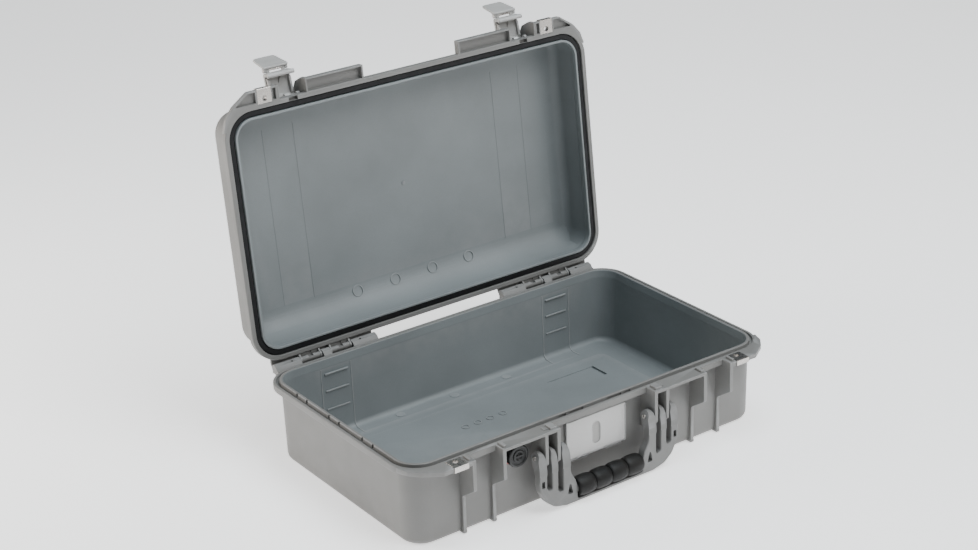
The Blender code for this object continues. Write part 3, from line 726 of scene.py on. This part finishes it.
def lid_dome():
    """The wide fillet between the lid's top and its back wall, on the inside."""
    outline = arc(DOME_CENTRE, DOME_RADIUS, 0, 90, 14)
    outline += [(DOME_CENTRE[0], 163.5), (153.0, 163.5), (153.0, DOME_CENTRE[1])]
    dome = prism("dome", "X", outline, -270.0, 270.0)
    middle = fillet([(-28.5, 164.0, 0), (-3.0, 164.0, 21.0), (-3.0, 117.0, 0)], 7, closed=False)
    keep = loft("keep", [rim_ring(offset, z) for offset, z in middle])
    return combine(dome, [keep], "INTERSECT")


def lid_solids():
    """Everything that is moulded onto the lid's tray, inside and outside."""
    solids = [turned("gate", "Z", (0.0, 0.0), [(163.0, 3.0), (160.9, 2.6), (160.6, 1.6)], 24)]
    for x in (-90.0, -30.0, 30.0, 90.0):
        ring = [(164.0, 8.0), (160.7, 8.0), (160.5, 7.7), (160.5, 6.9), (160.7, 6.8),
                (164.0, 6.8)]
        mark = turned("pin_mark", "Z", (x, DOME_CENTRE[0]), ring, 32, closed=True)
        mark.data.transform(about_x(DOME_CENTRE, MARK_TILT))
        solids.append(mark)
    solids.append(lid_dome())
    for side in (1, -1):
        for x in (RIB_A_X, RIB_B_X):
            solids.append(lid_latch_rib(side * x))
        solids.append(prism("hasp", "Z", mirrored(hasp_outline(), side), RIM_BOTTOM,
                            RIM_BOTTOM + 6.0, 0.8))
        solids.append(box("tray", span(side, RIB_D_X - 2.4, RIB_B_X + 2.4), (FRONT_Y, -ROOT_Y),
                          (RIM_BOTTOM, RIM_BOTTOM + 9.0), 0.8))
        solids.append(raised_band(side))
        leaf = [(ROOT_Y, 115.4), (170.5, 115.4), (173.7, 115.0), (174.6, 116.2), (168.0, 118.6),
                (ROOT_Y, 118.2)]
        solids.append(prism("leaf", "X", leaf, *span(side, 103.0, 254.0), bevel=0.3))
        for low, high in LID_KNUCKLES:
            solids.append(lid_cheek(span(side, low, low + 2.6)))
            solids.append(lid_cheek(span(side, high - 2.6, high)))
            web = [(ROOT_Y, 111.4), (168.2, 111.4), (170.2, 112.4), (173.7, 112.7),
                   (174.6, 114.2), (172.6, 116.6), (168.0, 118.6), (ROOT_Y, 118.0)]
            between = span(side, low + 1, high - 1)
            solids.append(prism("web", "X", web, *between, bevel=0.3))
            solids.append(cylinder("barrel", "X", HINGE_YZ, 4.0, *between))
    return solids


def lid_cuts():
    """Holes, pockets and slots cut into the lid."""
    cuts = []
    for side in (1, -1):
        cuts += hasp_cuts(side, (100.0, 125.0), (100.0, RIM_BOTTOM + 1.2))
        pocket = fillet([(229.4, -167.0, 0.8), (229.4, -180.6, 0.8), (239.4, -180.6, 3.0),
                         (259.0, -167.0, 0.8)], 3)
        cuts.append(prism("pocket", "Z", mirrored(pocket, side), 100.0, RIM_BOTTOM + 4.6))
        cuts.append(box("tab_pocket", span(side, 200.8, 205.6), (-181.0, -166.6),
                        (100.0, RIM_BOTTOM + 4.6), 0.5))
        cuts.append(box("tray_hollow", span(side, RIB_D_X + 0.4, RIB_B_X + 0.4),
                        (-181.0, -166.0), (100.0, RIM_BOTTOM + 6.8), 0.5))
        cuts.append(box("bay_slot", span(side, 171.0, 184.0), (-164.9, -159.6),
                        (107.5, RIM_BOTTOM + 5.0), 0.4))
        cuts.append(cylinder("pin_hole", "X", HINGE_YZ, HINGE_BORE, *span(side, 130.0, 230.0)))
        cuts.append(cylinder("latch_hole", "X", ARM_PIVOT, LATCH_BORE,
                             *span(side, 154.0, 200.0)))
        for low, high in LID_KNUCKLES:
            middle = (low + high) / 2
            cuts.append(box("barrel_recess", span(side, middle - 3.6, middle + 3.6),
                            (166.0, 172.0), (105.0, 112.8), 0.4))
        for x in STRIPE_X:
            cuts.append(box("flow_line", span(side, x - 0.5, x + 0.5), (-118.0, 118.0),
                            (159.0, 162.35)))
    return cuts


def build_lid(mat):
    shell = lid_skin()
    combine(shell, lid_solids(), "UNION")
    combine(shell, lid_cuts(), "DIFFERENCE")
    present(shell, "lid_tray", "lid", ["lid_shell"], mat, LID_SWING)


def build_seal(mat):
    profile = fillet([(-3.8, 110.8, 1.6), (3.8, 110.8, 1.6), (3.8, 116.2, 0.6),
                      (-3.8, 116.2, 0.6)], 4)
    seal = loft("seal", [rim_ring(offset, z) for offset, z in profile], closed=True)
    present(seal, "lid_gasket", "lid", ["lid_seal"], mat, LID_SWING)


# --- latches ----------------------------------------------------------
def build_latch_arm(side, mat):
    """The arm hung on the lid, with the hook at its end and lugs for the lever."""
    centre = side * BAY_CENTRE_X
    plate = fillet([(-163.0, 129.8, 1.0), (-175.5, 129.8, 4.0), (-179.5, 126.0, 4.0),
                    (-179.5, 95.4, 1.5), (-176.5, 93.6, 1.0), (-166.0, 94.6, 0.5),
                    (-166.0, 98.0, 0.5), (-174.5, 98.0, 1.0), (-175.5, 100.0, 1.0),
                    (-175.5, 122.5, 1.5), (-172.5, 125.6, 1.5), (-163.0, 125.6, 0.5)])
    arm = prism("arm", "X", plate, centre - 17.6, centre + 17.6, 0.6)
    solids = [
        cylinder("eye", "X", ARM_PIVOT, 3.6, centre - 17.6, centre + 17.6, 24, 0.5),
        cylinder("hook", "X", HOOK_CENTRE, 2.9, centre - 19.0, centre + 19.0, 24, 1.0),
        box("lip", (centre - 18.6, centre + 18.6), (-174.8, -164.6), (94.3, 98.2), 0.8),
    ]
    for x in (-15.0, 15.0):
        web = fillet([(-176.0, 98.6, 0), (-171.0, 103.0, 2.0), (-171.0, 122.0, 2.0),
                      (-174.5, 126.0, 0)])
        solids.append(slab("web", web, centre + x, 3.0, 0.4))
    for inner, outer in ((9.0, 13.0), (-13.0, -9.0)):
        lug = fillet([(-179.2, 97.0, 0), (-179.2, 89.4, 1.5), (-178.0, 87.9, 1.5),
                      (-175.9, 89.2, 1.5), (-175.7, 97.0, 0)])
        solids.append(prism("lug", "X", lug, centre + inner, centre + outer, 0.3))
    combine(arm, solids, "UNION")
    notch = [(centre - 4.2, 97.5), (centre + 4.2, 97.5), (centre + 0.6, 108.5),
             (centre - 0.6, 108.5)]
    cuts = [
        cylinder("bore", "X", ARM_PIVOT, LATCH_BORE, centre - 25, centre + 25, 24),
        cylinder("bore", "X", LEVER_PIVOT, LATCH_BORE, centre - 25, centre + 25, 24),
        prism("notch", "Y", notch, -177.2, -170.0),
    ]
    for x in (-8.5, 8.5):
        cuts.append(box("window", (centre + x - 5.0, centre + x + 5.0), (-170.5, -158.0),
                        (120.0, 127.8), 0.6))
    combine(arm, cuts, "DIFFERENCE")
    label = side_name(side)
    present(arm, f"latch_arm_moulding_{label}", f"arm_{label}", [f"latch_arm_{label}"], mat,
            ARM_SWING)


def build_latch_lever(side, mat):
    """The plate that is pulled, with an eye at each edge about the lever's pin."""
    centre = side * BAY_CENTRE_X
    face = fillet([(centre - 18.2, 87.2, 2.5), (centre + 18.2, 87.2, 2.5),
                   (centre + 15.8, 119.4, 4.5), (centre - 15.8, 119.4, 4.5)], 5)
    lever = prism("lever", "Y", face, -183.6, -180.5, 1.1, 3)
    solids = []
    for inner, outer in ((13.5, 17.0), (-17.0, -13.5)):
        eye = arc(LEVER_PIVOT, 2.9, -120, 90, 12)
        eye += [(-180.9, 93.3), (-181.6, 91.0), (-181.2, 88.4)]
        solids.append(prism("eye", "X", eye, centre + inner, centre + outer, 0.3))
    combine(lever, solids, "UNION")
    cuts = [cylinder("bore", "X", LEVER_PIVOT, LATCH_BORE, centre - 25, centre + 25, 24)]
    under = fillet([(centre - 12.5, 94.0, 1.5), (centre + 12.5, 94.0, 1.5),
                    (centre + 12.0, 115.0, 2.0), (centre - 12.0, 115.0, 2.0)])
    cuts.append(prism("underside", "Y", under, -181.6, -179.0))
    combine(lever, cuts, "DIFFERENCE")
    label = side_name(side)
    present(lever, f"latch_lever_moulding_{label}", f"lever_{label}", [f"latch_lever_{label}"],
            mat, LEVER_SWING)


# --- handle -----------------------------------------------------------
def handle_half(side):
    """Front view of one half of the handle frame's lower body."""
    outline = fillet([(-1.0, 2.6, 0), (68.0, 2.6, 14.0), (86.0, 7.0, 16.0), (98.5, 17.0, 16.0),
                      (106.0, 32.0, 14.0), (108.2, 45.0, 6.0), (107.6, 58.0, 0),
                      (96.6, 58.0, 0), (96.6, 34.0, 3.7), (89.0, 31.0, 3.7), (89.0, 58.0, 0),
                      (80.2, 58.0, 0), (80.2, 27.0, 3.7), (72.6, 23.0, 3.7), (72.6, 58.0, 0),
                      (61.0, 58.0, 0), (60.5, 45.0, 10.0), (54.0, 33.5, 8.0), (51.5, 26.0, 6.0),
                      (50.8, 6.6, 2.0), (-1.0, 6.6, 0)], 6)
    return prism("body", "Y", mirrored(outline, side), -186.0, -174.6, 1.6, 3)


def handle_prong(side, low, high):
    """A prong: a leaf in front view, with a round eye about the handle pin in side view."""
    width = high - low
    leaf = fillet([(low, 54.0, 0), (high, 54.0, 0), (high, 74.0, 8.0),
                   (low + width * 0.72, 84.4, width * 0.3),
                   (low + width * 0.28, 84.4, width * 0.3), (low, 74.0, 8.0)], 5)
    prong = prism("prong", "Y", mirrored(leaf, side), -186.0, -168.0, 1.5, 3)
    shank = [(-169.6, 74.0), (-174.6, 56.0), (-174.6, 50.0), (-190.0, 50.0), (-186.0, 62.0),
             (-183.6, 76.0)]
    shank += arc(HANDLE_PIVOT, 7.6, 170, -20, 14)
    keep = prism("shank", "X", shank, *span(side, low - 5, high + 5))
    return combine(prong, [keep], "INTERSECT")


def build_handle(mat, grip_mat):
    """The frame with three prongs at each end, and the ribbed grip around its core."""
    body = handle_half(1)
    solids = [handle_half(-1)]
    for side in (1, -1):
        for low, high in PRONGS:
            solids.append(handle_prong(side, low, high))
    solids.append(cylinder("core", "X", GRIP_CENTRE, 6.0, -56.0, 56.0, 24))
    combine(body, solids, "UNION")
    cuts = []
    for side in (1, -1):
        cuts.append(cylinder("bore", "X", HANDLE_PIVOT, HANDLE_BORE, *span(side, 50.0, 120.0)))
        window = fillet([(58.0, 16.5, 1.5), (66.5, 17.0, 1.5), (62.5, 36.0, 1.5)], 4)
        cuts.append(prism("window", "Y", mirrored(window, side), -190.0, -170.0, 0.4))
        cuts.append(box("socket", span(side, 100.2, 104.8), (-190.0, -180.5), (38.0, 47.0),
                        0.6))
    combine(body, cuts, "DIFFERENCE")
    present(body, "handle_moulding", "handle", ["handle_frame"], mat)

    profile = [(-50.0, 6.3), (-50.0, 10.6), (-49.2, 11.6), (-47.5, 12.0)]
    for start in (-50.0, -25.0, 0.0, 25.0):
        for along, radius in ((2.6, 11.9), (7.0, 12.6), (12.5, 12.8), (18.0, 12.6),
                              (22.4, 11.9), (24.3, 10.6)):
            profile.append((start + along, radius))
        if start < 25.0:
            profile += [(start + 24.7, 9.6), (start + 25.3, 9.6), (start + 25.7, 10.6)]
    profile += [(49.6, 10.6), (50.0, 9.8), (50.0, 6.3)]
    grip = turned("grip", "X", GRIP_CENTRE, profile, 48, closed=True)
    present(grip, "handle_grip_sleeve", "handle", ["handle_grip"], grip_mat, smooth=60.0)


# --- vent, label and plates -------------------------------------------
def build_vent(black, red):
    """The fluted cap that is turned, and the red ring behind the vent's body."""
    centre = (VENT_X, VENT_Z)
    profile = [(-161.3, 12.6), (-161.6, 14.2), (-162.4, 14.6), (-167.6, 14.6), (-168.6, 14.2),
               (-169.4, 13.0), (-169.4, 11.6), (-168.9, 11.0), (-168.2, 10.8), (-168.2, 8.4),
               (-169.2, 8.0), (-169.6, 7.4), (-169.6, 5.4), (-168.6, 4.8), (-168.0, 3.2),
               (-169.0, 2.4), (-169.6, 1.0)]
    cap = turned("cap", "Y", centre, profile)
    cuts = []
    for x, z in arc(centre, 16.1, 15, 345, 11):
        cuts.append(cylinder("flute", "Y", (x, z), 2.3, -172.0, -163.0, 16))
    combine(cap, cuts, "DIFFERENCE")
    bar = box("bar", (VENT_X - 7.6, VENT_X + 7.6), (-169.7, -166.8),
              (VENT_Z - 1.3, VENT_Z + 1.3), 0.4)
    combine(cap, [bar], "UNION")
    present(cap, "vent_knob_cap", "vent_knob", ["vent_cap"], black)
    section = fillet([(-155.7, 11.5, 0), (-155.7, 15.1, 0.7), (-157.6, 15.1, 0.9),
                      (-157.6, 11.5, 0)], 4)
    ring = turned("ring", "Y", centre, section, 48, closed=True)
    present(ring, "vent_red_ring", "base", ["vent_seal_ring"], red)


def build_label(cover_mat):
    """The clear window, open at the back for the card, with a slot for a finger."""
    low, high = LABEL_Z
    face = fillet([(-LABEL_HALF_X, low, 2.0), (LABEL_HALF_X, low, 2.0),
                   (LABEL_HALF_X, high, 1.0), (-LABEL_HALF_X, high, 1.0)])
    cover = prism("cover", "Y", face, -159.2, -156.0, 0.5, 3)
    cuts = [box("pocket", (-LABEL_HALF_X + 1.6, LABEL_HALF_X - 1.6), (-157.6, -150.0),
                (low + 1.6, high + 5.0))]
    oval = fillet([(-6.0, 54.0, 5.9), (6.0, 54.0, 5.9), (6.0, 83.0, 5.9), (-6.0, 83.0, 5.9)], 8)
    cuts.append(prism("finger_slot", "Y", oval, -165.0, -157.0))
    combine(cover, cuts, "DIFFERENCE")
    present(cover, "label_window", "base", ["label_cover"], cover_mat)


def build_plate(side, on_lid, mat):
    """Stainless padlock clip with rounded folds and a rolled hole."""
    hole_x, hole_y = side * HASP_HOLE[0], HASP_HOLE[1]
    if on_lid:
        where, swing, inward = "lid", LID_SWING, 1
        face, back = RIM_BOTTOM + 0.1, RIM_BOTTOM + 6.3
        below, above = 4.2, 3.6        # radii of the hole, which widens towards the face
    else:
        where, swing, inward = "base", None, -1
        face, back = FLANGE_TOP + 0.2, 102.2
        below, above = 3.6, 4.2
    thick = 0.8 * inward
    nose = FRONT_Y - 0.3
    outline = fillet([(-164.8, face, 0.2), (nose - 0.8, face, 1.0),
                      (nose - 0.8, back + thick, 1.0), (-176.0, back + thick, 0.2),
                      (-176.0, back, 0.2), (nose, back, 0.3), (nose, face + thick, 0.3),
                      (-164.8, face + thick, 0.2)], 3)
    plate = prism("plate", "X", outline, hole_x - PLATE_HALF, hole_x + PLATE_HALF, 0.15)
    low, high = sorted((face, face + thick))
    collar = turned("collar", "Z", (hole_x, hole_y), [(low + 0.05, 5.2), (high - 0.05, 5.2)],
                    32)
    combine(plate, [collar], "UNION")
    hole = turned("hole", "Z", (hole_x, hole_y), [(90.0, below), (face - 0.35, below),
                                                  (face + 0.35, above), (130.0, above)], 32)
    combine(plate, [hole], "DIFFERENCE")
    deep = face + 6.4 * inward
    tube = turned("tube", "Z", (hole_x, hole_y),
                  [(face, 3.95), (deep, 3.95), (deep, 3.45), (face, 3.45)], 32, closed=True)
    combine(plate, [tube], "UNION")
    label = side_name(side)
    present(plate, f"{where}_padlock_clip_{label}", where, [f"{where}_padlock_plate_{label}"],
            mat, swing)


def dress_cad_nodes(mats):
    """Give the nodes that keep their own shape their detailed material."""
    dress = {"vent_body": mats["vent_black"], "vent_nut": mats["vent_black"],
             "vent_membrane": mats["membrane"], "label_card": mats["card"]}
    for side in ("left", "right"):
        for name in ("hinge_pin", "handle_pin", "latch_pivot_pin", "latch_lever_pin"):
            dress[f"{name}_{side}"] = mats["pin_steel"]
    for name, mat in dress.items():
        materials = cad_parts[name].data.materials
        materials.clear()
        materials.append(mat)


# --- studio -----------------------------------------------------------
def build_camera():
    """A 74 mm view from the front left, a little above, with a slight roll."""
    azimuth, elevation, roll = (math.radians(turn) for turn in CAMERA_TURN)
    back = Vector((math.sin(azimuth) * math.cos(elevation),
                   -math.cos(azimuth) * math.cos(elevation), math.sin(elevation)))
    right = Vector((math.cos(azimuth), math.sin(azimuth), 0.0))
    up = back.cross(right)
    right, up = (right * math.cos(roll) + up * math.sin(roll),
                 up * math.cos(roll) - right * math.sin(roll))
    data = bpy.data.cameras.new("camera")
    data.sensor_width = SENSOR_WIDTH
    data.lens = CAMERA_LENS
    camera = bpy.data.objects.new("camera", data)
    rotation = Matrix((right, up, back)).transposed().to_4x4()
    spot = Vector(CAMERA_TARGET) + back * CAMERA_DISTANCE
    camera.matrix_world = Matrix.Translation(spot) @ rotation
    bpy.context.scene.collection.objects.link(camera)
    bpy.context.scene.camera = camera


def soft_light(name, spot, target, size, power, colour):
    """A rectangular lamp at a spot, turned towards its target; metres and watts."""
    data = bpy.data.lights.new(name, "AREA")
    data.shape = "RECTANGLE"
    data.size, data.size_y = size
    data.energy = power
    data.color = colour
    light = bpy.data.objects.new(name, data)
    light.location = spot
    light.rotation_euler = (Vector(target) - Vector(spot)).to_track_quat("-Z", "Y").to_euler()
    bpy.context.scene.collection.objects.link(light)


def build_studio():
    """A pale floor, a faint sky and four soft lamps."""
    bm = bmesh.new()
    half = 9.0                   # metres
    corners = [(-half, -half, 0.0), (half, -half, 0.0), (half, half, 0.0), (-half, half, 0.0)]
    bm.faces.new([bm.verts.new(corner) for corner in corners])
    mesh = bpy.data.meshes.new("floor")
    bm.to_mesh(mesh)
    bm.free()
    floor = bpy.data.objects.new("floor", mesh)
    bpy.context.scene.collection.objects.link(floor)
    floor.data.materials.append(pale_floor("floor_white"))
    world = bpy.data.worlds.new("studio")
    world.use_nodes = True
    background = world.node_tree.nodes["Background"]
    background.inputs["Color"].default_value = (0.84, 0.93, 1.0, 1.0)
    background.inputs["Strength"].default_value = 0.12
    bpy.context.scene.world = world
    middle = (0.0, 0.05, 0.15)
    warm = (1.0, 0.94, 0.87)
    soft_light("rear_left", (-1.3, 0.95, 0.7), (-0.25, 0.1, 0.12), (0.8, 0.7), 19.0, warm)
    soft_light("front_right", (1.9, -2.3, 1.1), middle, (1.3, 1.2), 10.0, warm)
    soft_light("high_front", (0.6, -1.6, 2.3), middle, (1.5, 1.3), 46.0, (0.97, 0.99, 1.0))
    soft_light("top", (0.2, -0.3, 2.6), middle, (1.6, 1.6), 46.0, (0.86, 0.95, 1.0))


def main():
    grey = moulded_plastic("case_plastic", *CASE_SHADES, 0.5, hollow=BASE_PAINTED_LIGHT_REGION)
    lid_grey = moulded_plastic("lid_plastic", *CASE_SHADES, 0.5, hollow=LID_PAINTED_LIGHT_REGION)
    latch_grey = moulded_plastic("latch_plastic", (0.37, 0.362, 0.349),
                                 (0.43, 0.42, 0.406), 0.46)
    handle_grey = moulded_plastic("handle_plastic", (0.13, 0.128, 0.124),
                                  (0.168, 0.165, 0.16), 0.45)
    mats = {
        "seal": rubber("seal_rubber", (0.004, 0.004, 0.005), (0.010, 0.010, 0.011), 0.55, 0.2),
        "grip": rubber("grip_rubber", (0.003, 0.003, 0.003), (0.010, 0.009, 0.008), 0.55, 0.8,
                       450.0),
        "clip_steel": stainless("clip_stainless", (1.0, 12.0, 12.0)),
        "pin_steel": stainless("pin_stainless", (0.05, 1.0, 1.0)),
        "vent_black": moulded_plastic("vent_plastic", (0.004, 0.004, 0.004),
                                      (0.010, 0.010, 0.010), 0.42, 0.15),
        "vent_red": rubber("vent_red_rubber", (0.42, 0.02, 0.025), (0.55, 0.035, 0.04), 0.45,
                           0.15),
        "cover": clear_plastic("label_clear"),
        "card": card_stock("label_card_stock"),
        "membrane": membrane_film("vent_film"),
    }
    build_camera()
    build_studio()
    build_base(grey)
    build_lid(lid_grey)
    build_seal(mats["seal"])
    for side in (1, -1):
        build_latch_arm(side, latch_grey)
        build_latch_lever(side, latch_grey)
        for on_lid in (False, True):
            build_plate(side, on_lid, mats["clip_steel"])
    build_handle(handle_grey, mats["grip"])
    build_vent(mats["vent_black"], mats["vent_red"])
    build_label(mats["cover"])
    dress_cad_nodes(mats)


main()
